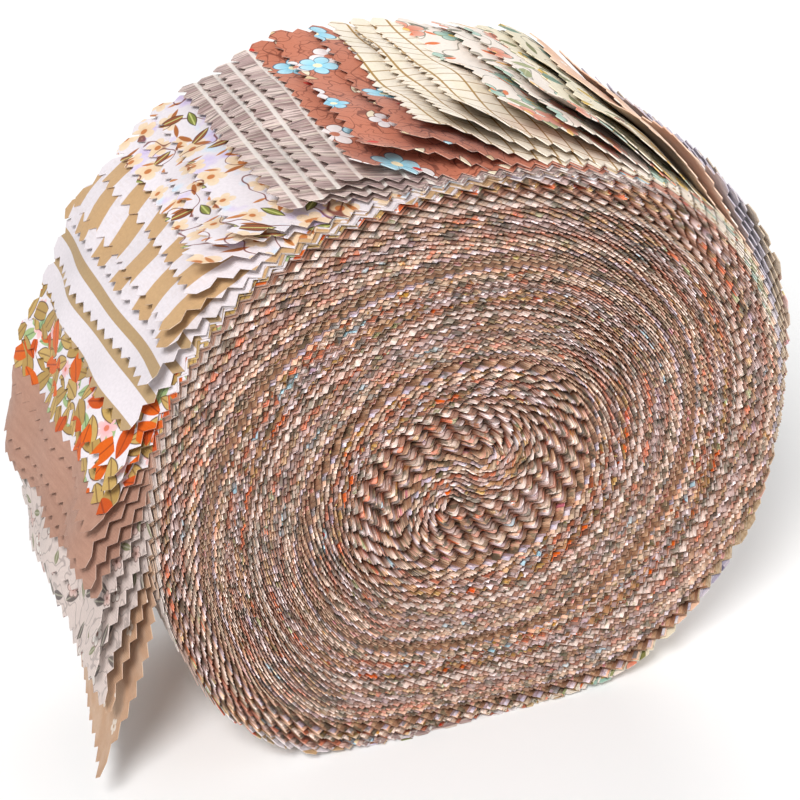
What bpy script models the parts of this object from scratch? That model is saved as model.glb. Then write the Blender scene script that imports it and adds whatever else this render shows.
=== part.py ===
"""Rolled bundle of pre-cut fabric strips, standing on its rim.

A stack of long pinked strips is folded round its own middle and rolled up,
so both faces show a double spiral that starts in an S with two small eyes.
The roll is one solid with that double spiral on its faces and a toothed rim.
The strip ends that show on the last turn are sheets of their own, one for
each fabric. They lift off the roll like shingles, and the last three hang.

Axes: X to the right and Z up as the spiral face is looked at, Y away from
the viewer along the roll's own axis. The origin is on the surface the roll
stands on, below the roll's middle.
"""
import math

import bmesh
import bpy
from mathutils import Vector
from mathutils.geometry import delaunay_2d_cdt

MM = 0.001

# Driving dimensions, in millimetres
STRIP_WIDTH = 65.0
STACK = 11.0            # all the strips lying on one another
EYE_SPACING = 13.0      # between the two eyes of the S in the middle
EYE_RADIUS = 1.2
EYE_SIDES = 8
CORE_TILT = 59.0        # degrees, direction from one eye to the other
CORE_SHIFT = (-4.0, -0.2)
CORE_SAG = 2.6
ROLL_RADIUS = 72.0
ROLL_TOP = 69.4
FLOOR_DROP = 64.7       # from the roll's middle down to the flat spot
FLOOR_BLEND = 6.0
SQUARENESS = 2.2        # exponent of the outline, 2 is an ellipse
SLACK_SIDE = 2.0        # the same for the lower right, which sags less
SQUASH_REACH = 1.2      # how fast the outline's shape fades towards the core
HALF_TURNS = 6.6        # of each arm of the spiral
TOOTH_PITCH = 4.1
TOOTH_DEPTH = 2.0
CREST = 4.0             # half width of a turn's flat crest, the groove lies beyond it
RIDGE_DEPTH = 0.5       # how far the relief lies below the tips of the teeth
GROOVE_DEPTH = 2.7
EYE_DEPTH = 6.0
SPIRAL_STEP = 10.0      # degrees between points along a line of the relief
RIM_CLEAR = 2.6         # relief lines stop this far from the outline
RIM_SAMPLES = 1440      # fine points that the rim's teeth are spaced on
WALK_STEP = 0.05        # degrees, the same along a sheet
MERGE = 0.01            # points of the relief closer than this are one

# Sheets of the last turn
SHEET = 1.0
GAP = 0.4
BED_START, BED_END = -4.0, 206.0     # degrees where the roll makes room for them
BED_RAMP = 3.0

# One row for each fabric, outermost first: where its strips end and where they
# leave the roll, in degrees anticlockwise from +X, how far the end stands off
# the roll at its front and its back edge, in millimetres, and how late it bends.
FABRICS = [
    # name, end, peel, lift_front, lift_back, bend, colour
    ("end_tan_rose", 29.0, 8.0, 2.4, 3.0, 1.7, (0.50, 0.40, 0.30)),
    ("end_tan_weave", 42.0, 19.0, 3.8, 6.4, 1.7, (0.55, 0.46, 0.35)),
    ("end_lilac_grey", 52.0, 28.0, 4.0, 5.4, 1.7, (0.60, 0.54, 0.56)),
    ("end_peach", 62.0, 36.0, 4.4, 5.2, 1.7, (0.75, 0.50, 0.40)),
    ("end_cream_olive", 73.0, 46.0, 4.8, 5.4, 1.7, (0.62, 0.56, 0.42)),
    ("end_cream_floral", 85.0, 57.0, 5.4, 6.6, 1.7, (0.75, 0.68, 0.55)),
    ("end_yellow_plaid", 98.0, 68.0, 6.8, 9.2, 1.7, (0.80, 0.72, 0.48)),
    ("end_terracotta", 111.5, 79.0, 9.0, 11.2, 1.7, (0.45, 0.17, 0.10)),
    ("end_taupe_grain", 121.5, 92.0, 6.6, 11.0, 1.7, (0.38, 0.33, 0.28)),
    ("end_white_floral", 135.5, 103.0, 11.0, 11.6, 1.7, (0.80, 0.74, 0.70)),
    ("end_wide_stripe", 147.0, 116.0, 9.0, 11.6, 1.7, (0.66, 0.56, 0.42)),
    ("end_thin_stripe", 155.5, 125.0, 7.0, 10.8, 1.7, (0.74, 0.69, 0.64)),
    ("end_orange_floral", 169.0, 139.0, 7.6, 10.6, 1.7, (0.78, 0.45, 0.22)),
    ("end_pink_tan", 188.0, 150.0, 14.6, 16.4, 1.8, (0.53, 0.35, 0.26)),
    ("end_grey_floral", 200.0, 161.0, 19.4, 18.0, 2.0, (0.58, 0.53, 0.51)),
    ("end_tan_spot", 213.0, 173.0, 29.0, 13.5, 2.6, (0.55, 0.42, 0.30)),
]
ROLL_COLOUR = (0.48, 0.38, 0.30)


def unit(degrees):
    """Direction in the face's plane, anticlockwise from +X."""
    return math.cos(math.radians(degrees)), math.sin(math.radians(degrees))


def outline_radius(degrees):
    """Distance from the roll's middle to its rim: a squared circle, flat below."""
    across, up = unit(degrees)
    half_height = ROLL_TOP if up > 0 else ROLL_RADIUS
    exponent = SLACK_SIDE if across > 0 and up < 0 else SQUARENESS
    power = abs(across / ROLL_RADIUS) ** exponent + abs(up / half_height) ** exponent
    radius = power ** (-1 / exponent)
    drop = -radius * up
    if drop <= FLOOR_DROP - FLOOR_BLEND:
        return radius
    blend = max(FLOOR_BLEND - abs(drop - FLOOR_DROP), 0) / FLOOR_BLEND
    return min(drop, FLOOR_DROP) / -up - blend ** 2 * FLOOR_BLEND / 4 / -up


def shaped(x, z):
    """Moves a point of the round, even spiral to its place in the settled roll."""
    distance = math.hypot(x, z)
    if distance == 0:
        return CORE_SHIFT
    degrees = math.degrees(math.atan2(z, x))
    share = min(distance / ROLL_RADIUS, 1)
    stretch = 1 + (outline_radius(degrees) / ROLL_RADIUS - 1) * share ** SQUASH_REACH
    shift_x = CORE_SHIFT[0] * (1 - share)
    shift_z = CORE_SHIFT[1] * (1 - share) - CORE_SAG * math.sin(math.pi * share)
    return x * stretch + shift_x, z * stretch + shift_z


def arm_point(turned, offset, arm):
    """Point of one arm of the double spiral, built from half circles.

    turned is the angle in degrees since the middle of the S, offset the
    distance outwards from the middle of the stack, arm is 1 or -1.
    """
    half = int(turned // 180)
    reach = [0] + [EYE_SPACING + STACK * i for i in range(half + 1)]
    radius = (reach[half] + reach[half + 1]) / 2
    centre = (reach[half + 1] - reach[half]) / 2 * (1 if half % 2 else -1)
    tilt_x, tilt_z = unit(CORE_TILT)
    dir_x, dir_z = unit(CORE_TILT + turned)
    x = tilt_x * centre + (radius + offset) * dir_x
    z = tilt_z * centre + (radius + offset) * dir_z
    return arm * x, arm * z


def bed_depth(degrees):
    """How far the roll's rim lies in, to make room for the sheets on it."""
    into = (degrees - BED_START) % 360
    left = BED_END - BED_START - into
    return (SHEET + GAP) * max(min(into / BED_RAMP, left / BED_RAMP, 1), 0)


def rim_points():
    """Outline of the roll's face, with a point at each tip and notch of the teeth."""
    fine = []
    for i in range(RIM_SAMPLES):
        degrees = i * 360 / RIM_SAMPLES
        radius = outline_radius(degrees) - bed_depth(degrees)
        across, up = unit(degrees)
        fine.append(Vector((radius * across, max(radius * up, -FLOOR_DROP))))
    steps = [(fine[i] - fine[i - 1]).length for i in range(RIM_SAMPLES)]
    perimeter = sum(steps)
    count = 2 * round(perimeter / TOOTH_PITCH)
    points, walked = [], 0.0
    for point, step in zip(fine, steps):
        if walked >= len(points) * perimeter / count and len(points) < count:
            points.append(point)
        walked += step
    return points


def relief_lines():
    """Lines of the face's relief: a crest along each arm and grooves between them."""
    profile = ((-CREST, RIDGE_DEPTH), (CREST, RIDGE_DEPTH), (STACK / 2, GROOVE_DEPTH))
    lines = []
    for arm in (1, -1):
        for offset, depth in profile:
            line = []
            for i in range(int(HALF_TURNS * 180 / SPIRAL_STEP) + 1):
                x, z = arm_point(i * SPIRAL_STEP, offset, arm)
                if math.hypot(x, z) < ROLL_RADIUS - RIM_CLEAR:
                    line.append(Vector(shaped(x, z)))
            lines.append((line, depth))
    tilt_x, tilt_z = unit(CORE_TILT)
    for side in (1, -1):
        x, z = side * tilt_x * EYE_SPACING / 2, side * tilt_z * EYE_SPACING / 2
        ring = []
        for i in range(EYE_SIDES):
            dir_x, dir_z = unit(CORE_TILT + (i + 0.5) * 360 / EYE_SIDES)
            ring.append(Vector(shaped(x + EYE_RADIUS * dir_x, z + EYE_RADIUS * dir_z)))
        lines.append((ring + ring[:1], GROOVE_DEPTH))
        lines.append(([Vector(shaped(x, z))], EYE_DEPTH))
    return lines


def add_object(name, mesh_data, colour):
    """Makes an object of the mesh, with its own cloth material."""
    mesh = bpy.data.meshes.new(name)
    mesh_data.to_mesh(mesh)
    mesh_data.free()
    obj = bpy.data.objects.new(name, mesh)
    bpy.context.scene.collection.objects.link(obj)
    obj.location = (0, 0, FLOOR_DROP * MM)
    material = bpy.data.materials.new(name + "_cloth")
    material.use_nodes = True
    shader = material.node_tree.nodes["Principled BSDF"]
    shader.inputs["Base Color"].default_value = (*colour, 1)
    shader.inputs["Roughness"].default_value = 0.9
    shader.inputs["Metallic"].default_value = 0.0
    mesh.materials.append(material)
    return obj


def make_roll():
    """The wound form: two faces with the spiral's relief, and a toothed rim."""
    rim = rim_points()
    points = list(rim)
    depths = [0 if i % 2 == 0 else TOOTH_DEPTH for i in range(len(rim))]
    edges = []
    for line, depth in relief_lines():
        first = len(points)
        closed = len(line) > 1 and line[0] == line[-1]
        unique = line[:-1] if closed else line
        points += unique
        depths += [depth] * len(unique)
        edges += [(first + i, first + i + 1) for i in range(len(unique) - 1)]
        if closed:
            edges.append((first + len(unique) - 1, first))
    outline = [list(range(len(rim)))]
    verts, _, faces, origin, _, _ = delaunay_2d_cdt(points, edges, outline, 1, MERGE)
    face_depth = [depths[source[0]] if source else GROOVE_DEPTH for source in origin]
    rim_index = {}
    for i, source in enumerate(origin):
        for s in source:
            if s < len(rim):
                rim_index[s] = i
    half = STRIP_WIDTH / 2
    bm = bmesh.new()
    front, back = [], []
    for point, depth in zip(verts, face_depth):
        x, y, z = point.x * MM, (half - depth) * MM, point.y * MM
        front.append(bm.verts.new((x, -y, z)))
        back.append(bm.verts.new((x, y, z)))
    for face in faces:
        bm.faces.new([front[i] for i in face])
        bm.faces.new([back[i] for i in reversed(face)])
    for i in range(len(rim)):
        a, b = rim_index[i], rim_index[(i + 1) % len(rim)]
        bm.faces.new((front[b], front[a], back[a], back[b]))
    bmesh.ops.recalc_face_normals(bm, faces=bm.faces)
    return add_object("roll_body", bm, ROLL_COLOUR)


def lift(row, degrees, back):
    """How far a fabric's strips stand off the roll at an angle."""
    _, end, peel, lift_front, lift_back, bend, _ = row
    share = max(degrees - peel, 0) / (end - peel)
    return (lift_back if back else lift_front) * share ** bend


def sheet_start(row, outer_row):
    """Angle where a sheet starts, once the one outside it has lifted clear."""
    if outer_row is None:
        return BED_START + BED_RAMP + 1
    _, end, peel, lift_front, lift_back, bend, _ = outer_row
    needed = (SHEET + GAP) / min(lift_front, lift_back)
    return peel + (end - peel) * needed ** (1 / bend)


def sheet_point(row, degrees, back, inner):
    """Point of a sheet's long edge, on its outer or its inner side."""
    radius = outline_radius(degrees) + lift(row, degrees, back) - (SHEET if inner else 0)
    across, up = unit(degrees)
    return Vector((radius * across, 0, radius * up))


def stations(row, start):
    """Angles half a tooth apart along the sheet, counted back from its end."""
    angles, degrees, walked = [row[1]], row[1], 0.0
    here = sheet_point(row, degrees, False, False)
    while degrees > start:
        degrees -= WALK_STEP
        there = sheet_point(row, degrees, False, False)
        walked += (there - here).length
        here = there
        if walked >= TOOTH_PITCH / 2:
            angles.append(degrees)
            walked = 0.0
    return angles[::-1]


def make_sheet(row, outer_row):
    """One fabric's strip ends: a curved sheet with pinked long edges and end."""
    name, colour = row[0], row[-1]
    angles = stations(row, sheet_start(row, outer_row))
    body, tail = angles[:-2], angles[-1]
    half = STRIP_WIDTH / 2
    bm = bmesh.new()

    def place(point, y):
        return bm.verts.new((point.x * MM, y * MM, point.z * MM))

    columns = []
    for i, degrees in enumerate(body):
        notch = TOOTH_DEPTH * ((len(body) - 1 - i) % 2)
        columns.append([
            place(sheet_point(row, degrees, back, inner), (half - notch) * (1 if back else -1))
            for back, inner in ((False, False), (True, False), (True, True), (False, True))
        ])
    for one, two in zip(columns, columns[1:]):
        for i in range(4):
            j = (i + 1) % 4
            bm.faces.new((one[i], one[j], two[j], two[i]))
    bm.faces.new(columns[0][::-1])

    teeth = 2 * round(STRIP_WIDTH / TOOTH_PITCH)
    ends = {}
    for inner in (False, True):
        near = [sheet_point(row, body[-1], back, inner) for back in (False, True)]
        far = [sheet_point(row, tail, back, inner) for back in (False, True)]
        zigzag = []
        for i in range(teeth + 1):
            side = i / teeth
            root = near[0].lerp(near[1], side)
            tip = far[0].lerp(far[1], side)
            reach = 1 if i % 2 else 1 - TOOTH_DEPTH / TOOTH_PITCH
            zigzag.append(place(root.lerp(tip, reach), -half + side * STRIP_WIDTH))
        ends[inner] = zigzag
    last = columns[-1]
    bm.faces.new([last[0], last[1]] + ends[False][::-1])
    bm.faces.new([last[2], last[3]] + ends[True])
    for i in range(teeth):
        bm.faces.new((ends[False][i], ends[False][i + 1], ends[True][i + 1], ends[True][i]))
    bm.faces.new((last[0], ends[False][0], ends[True][0], last[3]))
    bm.faces.new((last[1], last[2], ends[True][-1], ends[False][-1]))
    bmesh.ops.recalc_face_normals(bm, faces=bm.faces)
    bmesh.ops.triangulate(bm, faces=bm.faces)
    return add_object(name, bm, colour)


def main():
    for obj in list(bpy.data.objects):
        bpy.data.objects.remove(obj)
    make_roll()
    outer_row = None
    for row in FABRICS:
        make_sheet(row, outer_row)
        outer_row = row


main()
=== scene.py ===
"""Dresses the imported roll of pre-cut fabric strips: 46 pinked strips, really wound.

Every strip is a thin closed sheet that runs from its far end, through the S in
the middle, to its near end on the last turn. The wound parts stand for the
solid roll, and the near ends stand for the sheets of the CAD model.
"""
import math

import bpy
import numpy as np
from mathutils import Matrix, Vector


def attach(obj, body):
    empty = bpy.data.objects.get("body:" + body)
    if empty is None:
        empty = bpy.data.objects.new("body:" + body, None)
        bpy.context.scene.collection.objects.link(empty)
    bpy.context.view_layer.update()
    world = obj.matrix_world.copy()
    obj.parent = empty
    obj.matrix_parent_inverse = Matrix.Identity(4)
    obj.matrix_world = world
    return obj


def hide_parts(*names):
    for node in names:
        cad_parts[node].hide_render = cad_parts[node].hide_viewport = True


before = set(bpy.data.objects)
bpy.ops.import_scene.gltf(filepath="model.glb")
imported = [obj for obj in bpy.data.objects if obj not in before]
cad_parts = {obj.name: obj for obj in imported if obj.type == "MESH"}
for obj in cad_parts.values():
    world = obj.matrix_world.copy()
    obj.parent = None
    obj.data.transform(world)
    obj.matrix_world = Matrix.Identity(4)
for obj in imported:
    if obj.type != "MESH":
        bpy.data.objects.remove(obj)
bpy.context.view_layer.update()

MM = 0.001

# The wound form, in millimetres and degrees, as in the part's source
STRIP_WIDTH = 65.0
STACK = 11.0
EYE_SPACING = 13.0
EYE_ENDS = 0.16, 0.09     # how far past the S each eye closes, in half turns
CORE_TILT = 59.0
CORE_SHIFT = (-4.0, -0.2)
CORE_SAG = 2.6
ROLL_RADIUS = 72.0
ROLL_TOP = 69.4
FLOOR_DROP = 64.7
FLOOR_BLEND = 6.0
SQUARENESS = 2.2
SLACK_SIDE = 2.0
SQUASH_REACH = 1.2
TOOTH_PITCH = 4.1
TOOTH_DEPTH = 2.0
CUT_DEPTH = 1.6          # of the teeth at a cut end

# What the strips add to it
STRIP_COUNT = 46
SHEET_SHARE = 0.76      # of a strip's share of the stack that is cloth, the rest is air
EVEN_REACH = 4.0        # how fast the evened rim fades towards the core
LEAST_THETA = -60.0     # where the near ends' angles start counting
FAR_FIRST, FAR_LAST = 189.0, 354.0      # where the strips' far ends lie
FAR_THETA = 120.0
FAR_CURL = 10.0         # degrees over which a far end lifts
FAR_LIFT = 0.5
LIFT_SPAN = 70.0        # degrees of a strip next to its end that may lift
END_MARGIN = 4.0        # degrees of strip before the peel in an end's own piece
ACROSS = 32             # half teeth across a strip
CORE_TURN = 330.0       # degrees from the S in which the columns lie closer
CORE_STEP = 0.25        # half teeth between the columns there
FAR_COLUMNS = 10        # half teeth in a far end that get the full grid
FINE_STEP = 0.5         # degrees between the points that a strip is measured on
SPARE_TURN = 16.0       # degrees past the end, for corners that reach further
ALIGNED_TURN = 4.4      # radians from the S where the teeth of all strips line up
SKEW_REACH = 28.0       # millimetres over which a slanting cut end builds up
OUTER_STRIPS, OUTER_TURN = 3, 380.0      # what may show on the roll's outer side
OVERSHOOT = 1.12        # lifts go on a little past a corner's own angle
PRINT_APART = 91.0      # so that the covered prints of two fabrics differ
PRINT_STEP, PRINT_STEPS = 0.3, 3        # and those of one fabric's strips a little
PROBE = 960.0, 1290.0   # degrees from the S that all the strips' ends lie between
HALF_TURNS = 10         # more than any strip makes from the S to its end
RIM_FROM, RIM_EVEN = 760.0, 6           # where the last turn starts, and degrees it is evened over
PRESSED_AT, PRESSED, FREE_SPAN = 270.0, 35.0, 15.0      # where the floor keeps far ends from lifting
SHARP_ANGLE = 35.0      # degrees, creases of the shown ends above it stay sharp

# How the teeth and the tone change from strip to strip, in radians a strip, and how far
# the edges of the stack's outermost strips lie in
PHASE_WAVE, PHASE_PACE = 0.42, 0.7
TONE_WAVE, TONE_PACE, TONE_START = 0.36, 0.92, 0.6
CROWN, CROWN_FROM, CROWN_SPAN = 0.9, 0.82, 0.18
SKEW_SPAN = 45.0        # millimetres before the end over which a strip's skew builds up

# What is drawn at random for each strip, in this order
DIFFERENCES = {
    "phase": (-0.28, 0.28), "front_lift": (0.96, 1.04), "back_lift": (0.93, 1.07), "sideways": (-0.5, 0.5),
    "sway_size": (0.1, 0.4), "sway_length": (40.0, 120.0), "sway_start": (0.0, 6.3), "skew": (-1.2, 1.2),
    "print_across": (0.0, 400.0), "print_slip": (-1.2, 1.2), "tone": (-0.3, 0.3), "recess": (0.0, 0.25),
}

# Ripples of the lifted cloth: height, then length along in degrees and across in millimetres, and start
RIPPLES = [(0.09, 6.1, 11.0, 1.0), (0.07, 3.3, -6.5, 0.0), (0.05, 9.0, 3.9, 0.0)]
CALM_SPAN, TAIL_CALM = 20.0, 0.25       # past the tail's start this share of them is left

# Fabrics from the outermost in: how many strips, then where the last one's back
# corner ends, peels off and how far it lifts, then the same at the front corner,
# with the bend, for its outermost and innermost strips and any between
BACK_FIRST = (18.0, -22.0, 1.5)
FABRICS = [
    ("tan_rose", 3, (29.0, -14.0, 3.0), [(20.0, 0.0, 2.0, 1.6), (29.0, 8.0, 2.8, 1.6)]),
    ("tan_weave", 3, (42.0, -4.0, 6.0), [(33.0, 12.0, 3.4, 1.6), (42.0, 20.0, 4.8, 1.6)]),
    ("lilac_grey", 3, (52.0, 4.0, 5.6), [(46.0, 23.0, 5.2, 1.6), (52.0, 30.0, 6.0, 1.6)]),
    ("peach", 2, (62.0, 12.0, 5.9), [(58.0, 37.0, 6.6, 1.5), (62.5, 44.0, 7.4, 1.5)]),
    ("cream_olive", 2, (73.0, 20.0, 6.3), [(69.5, 50.0, 7.8, 1.3), (73.0, 55.0, 8.0, 1.3)]),
    ("cream_floral", 3, (86.7, 32.0, 7.3), [(77.5, 56.0, 10.5, 1.3), (87.0, 62.0, 12.0, 1.4)]),
    ("yellow_plaid", 3, (97.5, 42.0, 7.9), [(94.0, 70.0, 11.5, 1.3), (102.0, 78.0, 13.4, 1.7)]),
    ("terracotta", 3, (111.4, 54.0, 8.6),
     [(105.8, 82.0, 14.6, 1.7), (109.0, 90.0, 13.6, 1.3), (112.0, 96.0, 11.5, 1.5)]),
    ("taupe_grain", 4, (124.5, 66.0, 7.6), [(115.0, 98.0, 9.4, 1.5), (123.6, 108.0, 10.5, 1.3)]),
    ("white_floral", 3, (136.6, 78.0, 7.0), [(129.6, 113.0, 10.4, 1.6), (135.8, 123.0, 11.0, 1.5)]),
    ("wide_stripe", 3, (150.8, 92.0, 7.8), [(140.0, 125.0, 7.6, 1.3), (149.4, 135.0, 8.6, 1.4)]),
    ("thin_stripe", 2, (161.5, 104.0, 8.4), [(154.3, 140.0, 7.8, 1.3), (163.2, 149.0, 8.2, 1.3)]),
    ("orange_floral", 3, (175.5, 118.0, 9.8), [(169.6, 156.0, 10.8, 1.3), (176.0, 163.0, 10.8, 1.3)]),
    ("pink_tan", 4, (189.5, 132.0, 14.6), [(179.0, 166.0, 13.8, 1.2), (189.0, 172.0, 15.5, 1.4)]),
    ("grey_floral", 3, (200.5, 142.0, 16.4), [(195.0, 174.0, 16.5, 1.3), (205.0, 181.0, 19.0, 1.5)]),
    ("tan_spot", 2, (212.0, 150.0, 15.5), [(208.3, 179.0, 22.8, 2.5), (214.0, 183.0, 28.5, 3.0)]),
]
THIN_SLIPS = {32: 1.5, 33: -3.5}        # so that both thin stripes show, well apart
BACK_BEND = 1.35
FRONT_FADE = 2.2        # how fast a flipped front corner fades across the strip
TAIL_FROM, TAIL_TO = 165.0, 188.0       # the tail hangs evenly, so its fade goes down to 1


def outline_radius(degrees):
    """The settled roll's outline, as in the part's source."""
    across, up = np.cos(np.radians(degrees)), np.sin(np.radians(degrees))
    half_height = np.where(up > 0, ROLL_TOP, ROLL_RADIUS)
    exponent = np.where((across > 0) & (up < 0), SLACK_SIDE, SQUARENESS)
    power = np.abs(across / ROLL_RADIUS) ** exponent + np.abs(up / half_height) ** exponent
    radius = power ** (-1 / exponent)
    drop = -radius * up
    low = drop > FLOOR_DROP - FLOOR_BLEND
    blend = np.maximum(FLOOR_BLEND - np.abs(drop - FLOOR_DROP), 0) / FLOOR_BLEND
    down = np.where(low, -up, 1)
    flat = np.minimum(drop, FLOOR_DROP) / down - blend ** 2 * FLOOR_BLEND / 4 / down
    return np.where(low, flat, radius)


def spiral(turned, offset):
    """The even round double spiral. Turned is below zero on the far arm."""
    arm = np.where(turned < 0, -1, 1)
    angle = np.abs(turned)
    half = (angle // 180).astype(int)
    reach = np.concatenate([[0], EYE_SPACING + STACK * np.arange(HALF_TURNS)])
    past = np.clip((angle - 180) / 180, 0, 1)
    gap = (EYE_SPACING - STACK) * (1 + np.cos(math.pi * past)) / 2 * (half == 1)
    closed = np.clip(past / np.where(turned < 0, *EYE_ENDS), 0, 1)
    inward = (STACK / 2 - offset * arm) / STACK
    offset = offset - arm * gap * closed ** 2 * (3 - 2 * closed) * inward
    radius = (reach[half] + reach[half + 1]) / 2 + offset * arm
    centre = (reach[half + 1] - reach[half]) / 2 * np.where(half % 2, 1, -1)
    heading = np.radians(CORE_TILT + angle)
    x = math.cos(math.radians(CORE_TILT)) * centre + radius * np.cos(heading)
    z = math.sin(math.radians(CORE_TILT)) * centre + radius * np.sin(heading)
    return arm * x, arm * z


def theta_of(x, z, least):
    """Angle about the roll's middle, counted from least up to a full turn more."""
    return (np.degrees(np.arctan2(z, x)) - least) % 360 + least


def strip_rows():
    """Back and front end, peel, lift and bend, and fabric of each strip, outermost first."""
    rows, outer = [], np.array(BACK_FIRST)
    for number, (_, count, back, keys) in enumerate(FABRICS):
        own, keys = np.array(back), np.array(keys)
        for i in range(count):
            behind = outer + (own - outer) * (i + 1) / count
            at = i / (count - 1) * (len(keys) - 1)
            front = [np.interp(at, range(len(keys)), column) for column in keys.T]
            rows.append((*behind, *front, number))
        outer = own
    return rows


class Strip:
    """One strip's place in the stack, its ends, and its measured length."""

    def __init__(self, index, row, dice):
        self.index = index
        pitch = STACK / STRIP_COUNT
        self.offset = STACK / 2 - (index + 0.5) * pitch
        self.back_end, self.back_peel, self.back_lift = row[:3]
        self.front_end, self.front_peel, self.front_lift, self.bend, fabric = row[3:]
        self.print_wound = PRINT_APART * fabric + PRINT_STEP * (index % PRINT_STEPS)
        self.outer = index < OUTER_STRIPS or index >= STRIP_COUNT - OUTER_STRIPS
        self.end = (self.back_end + self.front_end) / 2
        self.fade = np.interp(self.end, (TAIL_FROM, TAIL_TO), (FRONT_FADE, 1.0))
        self.slant = math.radians(self.front_end - self.back_end) / 2 * ROLL_RADIUS
        self.far_end = FAR_LAST + (FAR_FIRST - FAR_LAST) * index / (STRIP_COUNT - 1)
        probe = np.arange(*PROBE, FINE_STEP)
        near = theta_of(*spiral(probe, self.offset), LEAST_THETA)
        self.last = np.interp(self.end, near, probe)
        far = theta_of(*spiral(-probe, self.offset), FAR_THETA)
        self.first = -np.interp(self.far_end, far, probe)
        own = {name: dice.uniform(*span) for name, span in DIFFERENCES.items()}
        self.phase = own["phase"] + PHASE_WAVE * math.sin(PHASE_PACE * index) + self.offset * ALIGNED_TURN
        self.front_lift *= own["front_lift"]
        self.back_lift *= own["back_lift"]
        self.sideways, self.skew = own["sideways"], own["skew"]
        self.sway = own["sway_size"], own["sway_length"], own["sway_start"]
        self.print_across, self.print_slip = own["print_across"], own["print_slip"]
        tone = 0.5 + TONE_WAVE * math.sin(TONE_PACE * index + TONE_START) + own["tone"]
        self.tone = min(max(tone, 0), 1)
        depth = abs(self.offset) / (STACK / 2)
        self.recess = CROWN * max(depth - CROWN_FROM, 0) / CROWN_SPAN + own["recess"]

    def covered(self, turned):
        """1 where other strips lie over this one, 0 where its face may show."""
        shows_near = (self.index < OUTER_STRIPS) & (turned > self.last - OUTER_TURN)
        shows_far = (self.index >= STRIP_COUNT - OUTER_STRIPS) & (turned < self.first + OUTER_TURN)
        return 1.0 - (shows_near | shows_far)

    def stands_off(self, theta, back):
        """How far it lifts by itself, at an angle and a share of its width."""
        front_share = (theta - self.front_peel) / (self.front_end - self.front_peel)
        back_share = (theta - self.back_peel) / (self.back_end - self.back_peel)
        front = self.front_lift * np.clip(front_share, 0, OVERSHOOT) ** self.bend
        behind = self.back_lift * np.clip(back_share, 0, OVERSHOOT) ** BACK_BEND
        return behind + (front - behind) * (1 - back) ** self.fade

    def measure(self):
        """Its length from the S at fine steps, at its end, and at the last whole tooth before it."""
        self.fine = np.arange(self.first, self.last + SPARE_TURN, FINE_STEP)
        x, z = place(self, self.fine, 0, 0)
        steps = np.hypot(np.diff(x), np.diff(z))
        self.run = np.concatenate([[0], np.cumsum(steps)])
        self.run -= np.interp(0, self.fine, self.run)
        self.run_end = np.interp(self.last, self.fine, self.run)
        self.cut = (self.run_end - self.phase) // TOOTH_PITCH * TOOTH_PITCH + self.phase


def even_rim(strips):
    """Outer radius of the round spiral at each whole degree, for evening it out."""
    most = np.zeros(360)
    for strip in strips:
        for ends in ((RIM_FROM, strip.last), (strip.first, -RIM_FROM)):
            turned = np.arange(*ends, FINE_STEP)
            x, z = spiral(turned, strip.offset)
            at = theta_of(x, z, 0).astype(int) % 360
            np.maximum.at(most, at, np.hypot(x, z) + STACK / STRIP_COUNT / 2)
    wide = np.concatenate([most[-RIM_EVEN:], most, most[:RIM_EVEN]])
    count = 2 * RIM_EVEN + 1
    return np.convolve(wide, np.ones(count) / count, "valid")


def settled(x, z):
    """Moves a point of the round spiral to its place in the settled roll."""
    distance = np.hypot(x, z)
    degrees = theta_of(x, z, 0)
    outer = np.interp(degrees, np.arange(361), np.append(RIM, RIM[0]))
    grown = 1 + (ROLL_RADIUS / outer - 1) * np.minimum(distance / outer, 1) ** EVEN_REACH
    distance = distance * grown
    share = np.minimum(distance / ROLL_RADIUS, 1)
    stretch = grown * (1 + (outline_radius(degrees) / ROLL_RADIUS - 1) * share ** SQUASH_REACH)
    shift_x = CORE_SHIFT[0] * (1 - share)
    shift_z = CORE_SHIFT[1] * (1 - share) - CORE_SAG * np.sin(math.pi * share)
    return x * stretch + shift_x, z * stretch + shift_z


def ripple(theta, y):
    """How unevenly the lifted cloth stands off, the same for all strips."""
    waves = sum(height * np.sin(theta / along + y / across + start)
                for height, along, across, start in RIPPLES)
    return 1 + waves * np.interp(theta, (TAIL_TO, TAIL_TO + CALM_SPAN), (1, TAIL_CALM))


def place(strip, turned, side, y):
    """Where a point of a strip lies, side is the distance from its middle layer."""
    x, z = settled(*spiral(turned, strip.offset + side))
    radius = np.hypot(x, z)
    near = theta_of(x, z, LEAST_THETA)
    back = np.clip(y / STRIP_WIDTH + 0.5, 0, 1)
    lift = 0.0
    for under in STRIPS[strip.index:]:
        lift = np.maximum(lift, under.stands_off(near, back))
    lift = np.where(turned > strip.last - LIFT_SPAN, lift * ripple(near, y), 0)
    far = theta_of(x, z, FAR_THETA)
    curl = np.clip((far - strip.far_end + FAR_CURL) / FAR_CURL, 0, 1) ** 2
    free = np.clip((np.abs(far - PRESSED_AT) - PRESSED) / FREE_SPAN, 0, 1)
    lift = lift + np.where(turned < strip.first + LIFT_SPAN, FAR_LIFT * curl * free, 0)
    grow = 1 + lift / np.maximum(radius, 1)
    return x * grow, np.maximum(z * grow, -FLOOR_DROP)


def link(name, data):
    """A new object in the scene."""
    obj = bpy.data.objects.new(name, data)
    bpy.context.scene.collection.objects.link(obj)
    return obj


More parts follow.
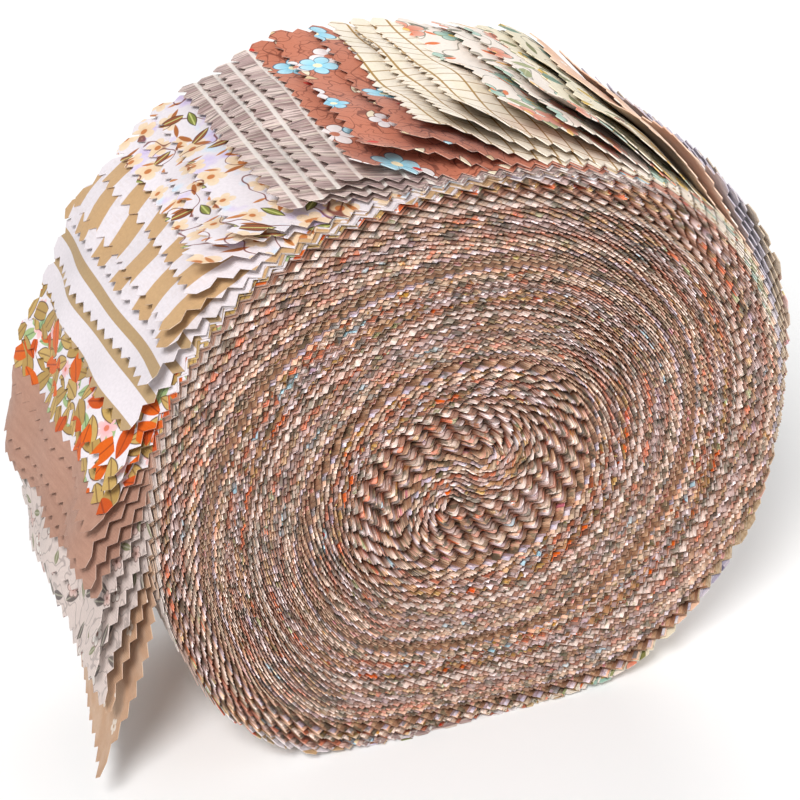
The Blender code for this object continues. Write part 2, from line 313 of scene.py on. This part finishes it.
class Cloth:
    """Collects the strips of one piece as closed thin grids."""

    def __init__(self):
        self.verts, self.quads, self.count = [], [], 0
        self.print, self.tones, self.deeps = [], [], []

    def add(self, strip, teeth, across, cut_first=False, cut_last=False):
        """Teeth is where the columns lie, in half teeth from the S, and across where the rows lie,
        from -1 to 1. A cut end gets teeth and its slant."""
        columns, rows = len(teeth), len(across)
        run = teeth * TOOTH_PITCH / 2 + strip.phase
        notch = np.abs((teeth + 1) % 2 - 1)
        notch = TOOTH_DEPTH * notch ** 2 * (3 - 2 * notch)
        run = np.repeat(run[:, None], rows, 1)
        if cut_last:
            run[-1, ::2] -= CUT_DEPTH
        if cut_first:
            run[0, ::2] += CUT_DEPTH
        if cut_first or cut_last:
            reach = np.clip((run - strip.run_end) / SKEW_REACH + 1, 0, 1)
            run -= reach * strip.slant * across[None, :] * (1 if cut_last else 0)
        half = (STRIP_WIDTH / 2 - strip.recess - notch)[:, None]
        size, length, start = strip.sway
        drift = strip.sideways + size * np.sin(run / length * 2 * math.pi + start)
        near_end = np.clip((run - strip.run_end + SKEW_SPAN) / SKEW_SPAN, 0, 1)
        y = half * across[None, :] + drift + strip.skew * near_end ** 2
        turned = np.interp(run, strip.run, strip.fine)
        thick = STACK / STRIP_COUNT * SHEET_SHARE / 2
        for side, printed in ((thick, 1.0), (-thick, 0.0)):
            x, z = place(strip, turned, side, y)
            self.verts.append(np.stack([x, y, z + FLOOR_DROP], -1).reshape(-1, 3) * MM)
            along, shift = run - strip.cut + strip.print_slip, strip.print_across
            if rows == 2 and not strip.outer:
                along, shift = run - strip.offset * np.abs(np.radians(turned)), strip.print_wound
            self.print.append(np.stack([along, y + shift, y * 0 + printed], -1).reshape(-1, 3))
        self.tones.append(np.full(2 * columns * rows, strip.tone))
        # painted shade: deep is how much notch shade is painted on, from TIP_DEEP at a tooth's tip to 1 at
        # its notch, only where other strips cover the strip; grids with more than two rows across get none
        deep = (TIP_DEEP + (1 - TIP_DEEP) * notch / TOOTH_DEPTH) * strip.covered(turned[:, 0])
        deep = np.repeat(deep[:, None], rows, 1)
        self.deeps.append(np.tile(deep.ravel(), 2) if rows == 2 else np.zeros(2 * columns * rows))
        grid = self.count + np.arange(columns * rows).reshape(columns, rows)
        under = grid + columns * rows
        self.count += 2 * columns * rows

        def quads(*corners):
            self.quads.append(np.stack(corners, -1).reshape(-1, 4))

        quads(grid[:-1, :-1], grid[:-1, 1:], grid[1:, 1:], grid[1:, :-1])
        quads(under[:-1, :-1], under[1:, :-1], under[1:, 1:], under[:-1, 1:])
        quads(grid[:-1, 0], grid[1:, 0], under[1:, 0], under[:-1, 0])
        quads(grid[:-1, -1], under[:-1, -1], under[1:, -1], grid[1:, -1])
        quads(grid[0, :-1], under[0, :-1], under[0, 1:], grid[0, 1:])
        quads(grid[-1, :-1], grid[-1, 1:], under[-1, 1:], under[-1, :-1])

    def build(self, name, material, smooth):
        mesh = bpy.data.meshes.new(name)
        mesh.from_pydata(np.concatenate(self.verts).tolist(), [], np.concatenate(self.quads).tolist())
        for label, kind, field, parts in (("cloth", "FLOAT_VECTOR", "vector", self.print),
                                          ("tone", "FLOAT", "value", self.tones),
                                          ("deep", "FLOAT", "value", self.deeps)):
            mesh.attributes.new(label, kind, "POINT")
            mesh.attributes[label].data.foreach_set(field, np.concatenate(parts).ravel())
        mesh.polygons.foreach_set("use_smooth", [smooth] * len(mesh.polygons))
        if smooth:
            mesh.set_sharp_from_angle(angle=math.radians(SHARP_ANGLE))
        mesh.materials.append(material)
        return link(name, mesh)


def linear(colour):
    """An sRGB colour from 0 to 255, as the shader wants it."""
    shares = [c / 255 for c in colour]
    return tuple(s / 12.92 if s < 0.04045 else ((s + 0.055) / 1.055) ** 2.4 for s in shares) + (1.0,)


class Print:
    """The nodes of one printed cotton, on millimetres along and across the strip."""

    def __init__(self, name):
        self.material = bpy.data.materials.new(name)
        self.material.use_nodes = True
        self.tree = self.material.node_tree
        self.shader = self.tree.nodes["Principled BSDF"]
        self.at = self.add("ShaderNodeAttribute", attribute_name="cloth").outputs["Vector"]
        self.s, self.t, self.printed = self.split(self.at)

    def add(self, kind, inputs=(), **settings):
        node = self.tree.nodes.new(kind)
        for key, value in settings.items():
            setattr(node, key, value)
        for key, value in dict(inputs).items():
            self.feed(node.inputs[key], value)
        return node

    def feed(self, socket, value):
        if isinstance(value, bpy.types.NodeSocket):
            self.tree.links.new(value, socket)
        elif isinstance(value, tuple) and len(value) == 3 and socket.type == "RGBA":
            socket.default_value = linear(value)
        else:
            socket.default_value = value

    def math(self, operation, *values, clamp=False):
        node = self.add("ShaderNodeMath", enumerate(values), operation=operation, use_clamp=clamp)
        return node.outputs[0]

    def times(self, one, two, clamp=False):
        return self.math("MULTIPLY", one, two, clamp=clamp)

    def minus(self, one, two):
        return self.math("SUBTRACT", one, two)

    def between(self, share, low, high):
        """Low where the share is 0, high where it is 1."""
        return self.math("MULTIPLY_ADD", share, high - low, low)

    def attribute(self, name):
        return self.add("ShaderNodeAttribute", attribute_name=name).outputs["Fac"]

    def split(self, vector):
        return tuple(self.add("ShaderNodeSeparateXYZ", {0: vector}).outputs)

    def join(self, x, y):
        return self.add("ShaderNodeCombineXYZ", {0: x, 1: y}).outputs[0]

    def mix(self, share, one, two):
        node = self.add("ShaderNodeMix", {0: share, 6: one, 7: two}, data_type="RGBA")
        return node.outputs[2]

    def moved(self, x, y):
        """The place on the cloth, shifted so that layers of motifs differ."""
        return self.add("ShaderNodeVectorMath", {0: self.at, 1: (x, y, 0.0)}).outputs[0]

    def soft(self, distance, blur=0.2):
        """1 where distance, in millimetres, is above zero, 0 where it is below."""
        return self.math("MULTIPLY_ADD", distance, 1 / blur, 0.5, clamp=True)

    def noise(self, size, detail=2.0, at=None, rough=0.5):
        inputs = {"Vector": at or self.at, "Scale": 1 / size, "Detail": detail, "Roughness": rough}
        return self.add("ShaderNodeTexNoise", inputs, noise_dimensions="2D").outputs["Fac"]

    def blotch(self, size, level, at=None, blur=0.03, detail=2.0):
        """1 inside blots of a noise, level is from 0 to 1."""
        noise = self.noise(size, detail, at)
        return self.math("MULTIPLY_ADD", noise, 1 / blur, 0.5 - level / blur, clamp=True)

    def lines(self, size, width, at=None, detail=1.0):
        """Fine curling lines, the level lines of a noise."""
        far = self.math("ABSOLUTE", self.minus(self.noise(size, detail, at), 0.5))
        return self.math("MULTIPLY_ADD", far, -1 / (width * 0.5), 1.5, clamp=True)

    def band(self, along, period, width, shift=0.0, blur=0.12):
        """Bands of a width, one in each period."""
        turn = self.math("FRACT", self.math("MULTIPLY_ADD", along, 1 / period, shift / period))
        middle = self.math("ABSOLUTE", self.minus(turn, 0.5))
        return self.soft(self.math("MULTIPLY_ADD", middle, -period, width / 2), blur)

    def streaks(self, along, across, long, fine, level, blur=0.1):
        """Grain that runs along one direction."""
        at = self.join(self.times(along, 1 / long), self.times(across, 1 / fine))
        return self.blotch(1.0, level, at, blur, 3.0)

    def motif(self, cell, shift, loose=0.6):
        """Scattered places: the local x and y in each cell, and its random numbers."""
        at = self.moved(*shift)
        node = self.add("ShaderNodeTexVoronoi", {"Vector": at, "Scale": 1 / cell, "Randomness": loose},
                        voronoi_dimensions="2D")
        local = self.add("ShaderNodeVectorMath", {0: at, 1: node.outputs["Position"]}, operation="SUBTRACT")
        x, y, _ = self.split(local.outputs[0])
        a, b, c = self.add("ShaderNodeSeparateColor", {0: node.outputs["Color"]}).outputs[:3]
        return x, y, a, b, c

    def flowers(self, ground, cell, radius, petals, colour, second=None, heart=(240, 225, 150),
                edge=None, keep=0.0, shift=(0.0, 0.0), waist=0.5):
        """Round flowers of a number of petals, some left out, on top of a ground."""
        x, y, a, b, c = self.motif(cell, shift)
        angle = self.math("MULTIPLY_ADD", a, 2 * math.pi, self.math("ARCTAN2", y, x))
        squares = self.math("ADD", self.times(x, x), self.times(y, y))
        distance = self.math("SQRT", squares)
        lobe = self.math("ABSOLUTE", self.math("COSINE", self.times(angle, petals / 2)))
        lobe = self.math("POWER", lobe, 0.6)
        size = self.between(b, SMALLEST * radius, LARGEST * radius)
        reach = self.times(size, self.between(lobe, waist, 1.0))
        shown = self.math("GREATER_THAN", c, keep)
        inside = self.minus(reach, distance)
        paint = self.mix(self.math("GREATER_THAN", b, 0.5), colour, second) if second else colour
        depth = self.math("DIVIDE", distance, size, clamp=True)
        paint = self.mix(self.times(depth, 0.35), paint, (250, 246, 238))
        if edge:
            line = self.soft(self.math("ADD", inside, FLOWER_LINE))
            ground = self.mix(self.times(line, shown), ground, edge)
            seam = self.math("MULTIPLY_ADD", lobe, -6.0, 2.2, clamp=True)
            paint = self.mix(self.times(seam, 0.6), paint, edge)
        ground = self.mix(self.times(self.soft(inside), shown), ground, paint)
        middle = self.soft(self.minus(self.times(size, HEART), distance))
        return self.mix(self.times(middle, shown), ground, heart)

    def leaves(self, ground, cell, length, width, colour, second=None, vein=None, edge=None,
               keep=0.0, shift=(0.0, 0.0), loose=0.8):
        """Pointed leaves or petals at any angle."""
        x, y, a, b, c = self.motif(cell, shift, loose)
        turn = self.times(a, 2 * math.pi)
        cos, sin = self.math("COSINE", turn), self.math("SINE", turn)
        along = self.math("ADD", self.times(x, cos), self.times(y, sin))
        aside = self.minus(self.times(y, cos), self.times(x, sin))
        size = self.between(b, SMALLEST, LARGEST)
        share = self.math("DIVIDE", along, self.times(size, length))
        wide = self.times(size, width)
        half = self.times(wide, self.minus(1.0, self.times(share, share)))
        inside = self.minus(half, self.math("ABSOLUTE", aside))
        shown = self.math("GREATER_THAN", c, keep)
        paint = self.mix(self.math("GREATER_THAN", b, 0.5), colour, second) if second else colour
        if edge:
            line = self.soft(self.math("ADD", inside, LEAF_LINE))
            ground = self.mix(self.times(line, shown), ground, edge)
        if vein:
            line = self.soft(self.minus(VEIN_WIDTH / 2, self.math("ABSOLUTE", aside)))
            paint = self.mix(self.times(line, 0.8), paint, vein)
        return self.mix(self.times(self.soft(inside), shown), ground, paint)

    def covered(self, colour, value):
        """Brown tint, blots, patches and painted shade in its notches where other strips lie over it; the
        brown is partly print and partly painted shade between the layers.
        """
        tone, deep = self.attribute("tone"), self.attribute("deep")
        inner = self.times(deep, 1 / TIP_DEEP, clamp=True)
        # partly print and partly painted shade between the layers: covered strips of low tone are tinted
        # brown
        brown_and_shade = self.between(tone, 0.48, -0.02)
        colour = self.mix(self.times(brown_and_shade, inner), colour, COVERED_BROWN_AND_SHADE)
        murky = self.times(self.blotch(4.0, 0.6, self.moved(17.0, 3.0), 0.06), 0.7)
        colour = self.mix(self.times(murky, inner), colour, MURKY)
        patchy = self.between(self.noise(5.0), -0.5, 0.7)
        patchy = self.math("ADD", patchy, self.between(tone, -0.27, 0.68))
        value = self.times(value, self.math("MULTIPLY_ADD", patchy, inner, 1.0))
        # painted shade: the colour is multiplied darker towards the notch bottoms of covered strips
        shadow = self.mix(deep, (255, 255, 255), NOTCH_SHADE)
        shaded = self.add("ShaderNodeMix", {0: 1.0, 6: colour, 7: shadow}, data_type="RGBA",
                          blend_type="MULTIPLY")
        return shaded.outputs[2], value

    def finish(self, colour):
        """Mottling, the paler back, the cut edge, the weave and the roughness."""
        mottle = self.between(self.noise(0.7), 0.92, 1.08)
        shade = self.between(self.noise(25.0, 1.0), 0.94, 1.06)
        value = self.times(self.times(mottle, shade), self.between(self.attribute("tone"), 0.95, 1.05))
        colour = self.mix(self.printed, self.mix(BACK_PALER, colour, PALE), colour)
        cut = self.times(self.minus(1.0, self.printed), self.printed)
        colour = self.mix(self.times(cut, 0.5, clamp=True), colour, PALE)
        colour, value = self.covered(colour, value)
        inputs = {"Saturation": SATURATION, "Value": value, "Color": colour}
        colour = self.add("ShaderNodeHueSaturation", inputs).outputs[0]
        warp, weft = (self.math("SINE", self.times(way, 2 * math.pi / THREAD)) for way in (self.s, self.t))
        height = self.math("MULTIPLY_ADD", self.noise(1.4), 1.2, self.times(warp, weft))
        bump = self.add("ShaderNodeBump", {"Height": height, "Strength": 0.35, "Distance": 0.0001})
        looks = {"Base Color": colour, "Normal": bump.outputs[0],
                 "Roughness": self.between(self.noise(0.9, 1.0), 0.82, 0.96),
                 "Specular IOR Level": 0.25, "Sheen Weight": 0.12, "Sheen Roughness": 0.5}
        for name, look in looks.items():
            self.feed(self.shader.inputs[name], look)
        return self.material


SATURATION = 1.1
TIP_DEEP = 0.15         # how much of the painted notch shade a tooth's tip gets beside its notches
THREAD = 0.42           # millimetres from one thread of the weave to the next but one
BACK_PALER = 0.4
SMALLEST, LARGEST = 0.7, 1.2            # of the motifs of one kind, as shares of their size
FLOWER_LINE, LEAF_LINE, VEIN_WIDTH, HEART = 0.3, 0.25, 0.32, 0.24
PALE = (222, 212, 204)
# NOTCH_SHADE is painted shade in the notches of covered strips; the brown of covered strips is partly print
# and partly painted shade between the layers
NOTCH_SHADE, COVERED_BROWN_AND_SHADE, MURKY = (143, 107, 90), (192, 126, 94), (88, 88, 70)
WHITE = (226, 219, 223)
BRICK, SKY, RUST = (193, 125, 103), (122, 198, 226), (176, 92, 58)
OLIVE, DARK = (128, 128, 78), (74, 64, 58)


def tan_rose(p):
    colour = p.mix(p.blotch(5.0, 0.62, blur=0.15), (196, 170, 146), (202, 150, 142))
    return p.flowers(colour, 11.0, 3.4, 5, (196, 70, 120), (214, 150, 150), keep=0.35)


def tan_weave(p):
    colour = p.mix(p.times(p.band(p.s, 1.4, 0.5), 0.45), (202, 180, 152), (160, 134, 106))
    return p.mix(p.times(p.band(p.t, 1.4, 0.5), 0.45), colour, (160, 134, 106))


def lilac_grey(p):
    colour = p.mix(p.streaks(p.s, p.t, 14.0, 1.2, 0.52), (172, 166, 184), (206, 198, 206))
    return p.leaves(colour, 9.0, 3.0, 0.9, (112, 108, 130), (226, 220, 224), keep=0.4)


def peach(p):
    colour = p.mix(p.blotch(9.0, 0.5, blur=0.3), (238, 196, 168), (244, 214, 192))
    return p.flowers(colour, 8.0, 1.4, 5, (250, 236, 224), heart=(224, 150, 110), keep=0.3)


def cream_olive(p):
    colour = p.leaves((236, 226, 202), 7.5, 3.4, 1.3, OLIVE, (214, 178, 84), vein=(96, 92, 56))
    colour = p.leaves(colour, 9.0, 3.2, 1.4, RUST, (120, 150, 130), vein=DARK, keep=0.35, shift=(31.0, 12.0))
    return p.mix(p.times(p.lines(9.0, 0.02), 0.6), colour, DARK)


def cream_floral(p):
    colour = p.mix(p.times(p.lines(11.0, 0.02), 0.75), (238, 227, 217), (110, 104, 84))
    colour = p.leaves(colour, 9.0, 3.6, 1.3, (92, 86, 80), (150, 156, 110), vein=(190, 190, 150), keep=0.25)
    colour = p.flowers(colour, 13.0, 4.4, 5, (132, 178, 162), (216, 112, 74), heart=(236, 196, 110),
                       edge=(96, 110, 92), keep=0.1, shift=(17.0, 41.0))
    return p.leaves(colour, 8.0, 2.2, 0.8, (222, 126, 84), (236, 190, 120), keep=0.5, shift=(57.0, 3.0))


def yellow_plaid(p):
    colour = p.mix(p.times(p.blotch(9.0, 0.62, blur=0.15), 0.3), (243, 233, 218), (230, 218, 182))
    colour = p.mix(p.times(p.band(p.t, 3.9, 0.35), 0.85), colour, (160, 124, 74))
    return p.mix(p.times(p.band(p.s, 5.2, 0.55), 0.95), colour, (166, 128, 66))


def terracotta(p):
    colour = p.mix(p.times(p.lines(6.0, 0.03), 0.8), BRICK, (112, 56, 42))
    colour = p.mix(p.times(p.lines(3.4, 0.035, p.moved(61.0, 17.0)), 0.6), colour, (124, 64, 48))
    colour = p.leaves(colour, 8.5, 2.8, 1.0, (238, 226, 200), (214, 188, 150), edge=(104, 50, 38),
                      keep=0.35, shift=(13.0, 29.0))
    colour = p.flowers(colour, 15.0, 4.4, 5, WHITE, (234, 222, 222), heart=BRICK,
                       edge=(120, 62, 48), keep=0.45, shift=(3.0, 71.0))
    colour = p.flowers(colour, 16.0, 4.2, 5, SKY, (140, 208, 232), heart=(248, 236, 200),
                       edge=(60, 96, 120), keep=0.5, shift=(43.0, 7.0))
    return p.leaves(colour, 12.0, 1.3, 0.8, (204, 52, 40), keep=0.6, shift=(91.0, 33.0))


def taupe_grain(p):
    bands = p.band(p.t, 8.4, 4.4, blur=1.2)
    colour = p.mix(bands, (221, 201, 195), (180, 155, 152))
    colour = p.mix(p.times(p.streaks(p.s, p.t, 9.0, 0.45, 0.52), 0.75), colour, (126, 106, 102))
    colour = p.mix(p.times(p.streaks(p.s, p.t, 12.0, 0.7, 0.6), 0.6), colour, (226, 216, 200))
    slant = p.math("MULTIPLY_ADD", p.s, 0.28, p.t)
    colour = p.mix(p.times(p.band(slant, 9.7, 0.3, 1.0), 0.75), colour, (84, 76, 76))
    return p.mix(p.band(p.s, 9.6, 1.0, blur=0.3), colour, (232, 224, 218))


def white_floral(p):
    colour = p.mix(p.blotch(9.0, 0.64, p.moved(31.0, 5.0), 0.12), WHITE, (208, 194, 226))
    colour = p.mix(p.blotch(8.0, 0.68, p.moved(5.0, 77.0), 0.12), colour, (206, 220, 232))
    colour = p.flowers(colour, 8.0, 3.3, 5, (224, 194, 158), heart=(190, 124, 82),
                       keep=0.1, shift=(7.0, 83.0))
    colour = p.leaves(colour, 5.5, 2.2, 0.55, (190, 128, 86), (166, 104, 66),
                      keep=0.2, shift=(2.0, 31.0))
    colour = p.mix(p.times(p.lines(10.0, 0.02), 0.9), colour, (112, 48, 44))
    return p.leaves(colour, 9.0, 2.6, 0.9, (126, 132, 70), (140, 84, 58), vein=(210, 212, 140),
                    edge=(74, 52, 38), keep=0.45, shift=(23.0, 9.0))


def wide_stripe(p):
    slant = p.math("MULTIPLY_ADD", p.s, 0.36, p.t)
    colour = p.mix(p.band(slant, 12.6, 6.2, blur=0.25), WHITE, (196, 163, 126))
    return p.mix(p.times(p.streaks(p.s, p.t, 0.7, 3.0, 0.55), 0.06), colour, (166, 132, 90))


def thin_stripe(p):
    return p.mix(p.band(p.s, 7.4, 2.3), WHITE, (180, 154, 120))


def orange_floral(p):
    colour = p.leaves(WHITE, 7.0, 3.4, 1.2, (140, 166, 124), (158, 178, 130), vein=(96, 116, 84), keep=0.35)
    colour = p.flowers(colour, 10.0, 2.4, 7, (226, 168, 172), heart=(214, 130, 110),
                       keep=0.45, shift=(37.0, 19.0))
    colour = p.leaves(colour, 5.6, 4.4, 1.8, (192, 162, 106), (174, 144, 92), vein=(118, 88, 56),
                      edge=(92, 70, 52), keep=0.0, shift=(71.0, 29.0))
    return p.leaves(colour, 6.8, 4.6, 2.0, (196, 82, 30), (210, 98, 38), vein=(140, 54, 22),
                    keep=0.35, shift=(11.0, 53.0))


def pink_tan(p):
    return p.mix(p.streaks(p.s, p.t, 1.2, 6.0, 0.5, blur=0.6), (168, 130, 114), (180, 143, 126))


def grey_floral(p):
    colour = p.mix(p.times(p.lines(4.0, 0.05), 0.6), (204, 190, 184), (142, 130, 126))
    colour = p.leaves(colour, 6.0, 2.4, 0.9, (122, 122, 92), (98, 88, 84), vein=(170, 166, 150), keep=0.3)
    return p.flowers(colour, 9.0, 2.2, 5, (182, 142, 134), (200, 190, 184), heart=(120, 90, 80),
                     edge=(134, 112, 106), keep=0.45, shift=(29.0, 47.0))


def tan_spot(p):
    colour = p.mix(p.blotch(8.0, 0.56, blur=0.2), (194, 158, 130), (202, 172, 148))
    return p.flowers(colour, 9.0, 1.4, 5, (218, 202, 186), heart=(182, 148, 120), keep=0.3)


DESIGNS = [tan_rose, tan_weave, lilac_grey, peach, cream_olive, cream_floral, yellow_plaid,
           terracotta, taupe_grain, white_floral, wide_stripe, thin_stripe, orange_floral,
           pink_tan, grey_floral, tan_spot]

dice = np.random.default_rng(46)
STRIPS = [Strip(i, row, dice) for i, row in enumerate(strip_rows())]
RIM = even_rim(STRIPS)
for index, slip in THIN_SLIPS.items():
    STRIPS[index].print_slip = slip
for strip in STRIPS:
    strip.measure()

EDGES = np.array([-1.0, 1.0])
WEB = np.linspace(-1, 1, ACROSS + 1)


def make_fabric(name, strips, design):
    """The wound part and the shown ends of one fabric's strips."""
    printed = Print(name)
    material = printed.finish(design(printed))
    wound, ends = Cloth(), Cloth()
    half_tooth = TOOTH_PITCH / 2
    wound_length, end_length = [], []
    for strip in strips:
        first = math.ceil((strip.run[0] - strip.phase) / half_tooth / 2) * 2
        last = math.floor((strip.run_end - strip.phase) / half_tooth / 2) * 2
        own = (strip.end - strip.back_peel + END_MARGIN) * math.pi / 180 * ROLL_RADIUS
        split = last - 2 * round(own / TOOTH_PITCH)
        core_run = np.interp([-CORE_TURN, CORE_TURN], strip.fine, strip.run)
        core = [2 * round((run - strip.phase) / half_tooth / 2) for run in core_run]
        teeth = np.concatenate([np.arange(first + FAR_COLUMNS, core[0]),
                                np.arange(core[0], core[1], CORE_STEP), np.arange(core[1], split + 1)])
        wound.add(strip, teeth.astype(float), EDGES)
        far = np.concatenate([[first], np.arange(first + 2, first + FAR_COLUMNS + 1)])
        wound.add(strip, far.astype(float), WEB, cut_first=True)
        near = np.concatenate([np.arange(split, last - 1), [last]])
        ends.add(strip, near.astype(float), WEB, cut_last=True)
        wound_length.append((split - first) * half_tooth)
        end_length.append((last - split) * half_tooth)
    coil = wound.build(name + "_wound", material, False)
    end = ends.build(name + "_end", material, True)
    for piece, lengths in ((coil, wound_length), (end, end_length)):
        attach(piece, "root")
    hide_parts("roll_body")
    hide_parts("end_" + name)


done = 0
for (name, count, _, _), design in zip(FABRICS, DESIGNS):
    make_fabric(name, STRIPS[done:done + count], design)
    done += count


# The stage, in metres, degrees and watts
FLOOR_REACH = 4.0
ROLL_MIDDLE = (0.0, 0.0, 0.07)
LIGHTS = [
    # name, place, size and power
    ("key", (-0.45, -0.6, 0.8), 0.35, 10.3),
    ("fill", (0.6, -0.5, 0.35), 0.8, 1.4),
    ("back", (0.35, 0.8, 0.55), 0.8, 5.0),
]
DAYLIGHT = 0.34
VIEW_AZIMUTH, VIEW_ELEVATION, VIEW_DISTANCE, VIEW_LENS = -22.0, 30.6, 0.4565, 94.5
VIEW_TARGET = (-0.00566, 0.0, 0.06615)


def aim(obj, place, target):
    obj.location = place
    way = Vector(np.array(target) - np.array(place))
    obj.rotation_euler = way.to_track_quat("-Z", "Y").to_euler()


def make_floor():
    mesh = bpy.data.meshes.new("floor")
    corners = [(x * FLOOR_REACH, y * FLOOR_REACH, 0) for x, y in ((-1, -1), (1, -1), (1, 1), (-1, 1))]
    mesh.from_pydata(corners, [], [(0, 1, 2, 3)])
    material = bpy.data.materials.new("floor")
    material.use_nodes = True
    shader = material.node_tree.nodes["Principled BSDF"]
    shader.inputs["Base Color"].default_value = (0.9, 0.9, 0.9, 1)
    shader.inputs["Roughness"].default_value = 0.9
    mesh.materials.append(material)
    floor = link("floor", mesh)


def make_light(name, place, size, power):
    light = bpy.data.lights.new(name, "AREA")
    light.shape, light.size, light.energy = "DISK", size, power
    aim(link(name, light), place, ROLL_MIDDLE)


def make_world():
    world = bpy.data.worlds.new("world")
    world.use_nodes = True
    sky = world.node_tree.nodes["Background"]
    sky.inputs["Color"].default_value = (1, 1, 1, 1)
    sky.inputs["Strength"].default_value = DAYLIGHT
    bpy.context.scene.world = world
    bpy.context.scene.view_settings.view_transform = "Standard"


def make_camera():
    """At the photograph's angle and distance."""
    azimuth, elevation = math.radians(VIEW_AZIMUTH), math.radians(VIEW_ELEVATION)
    way = np.array((math.sin(azimuth) * math.cos(elevation), -math.cos(azimuth) * math.cos(elevation),
                    math.sin(elevation)))
    camera = bpy.data.cameras.new("camera")
    camera.lens, camera.sensor_width, camera.clip_start = VIEW_LENS, 36, 0.01
    obj = link("camera", camera)
    aim(obj, np.array(VIEW_TARGET) + VIEW_DISTANCE * way, VIEW_TARGET)
    bpy.context.scene.camera = obj


make_floor()
for light in LIGHTS:
    make_light(*light)
make_world()
make_camera()
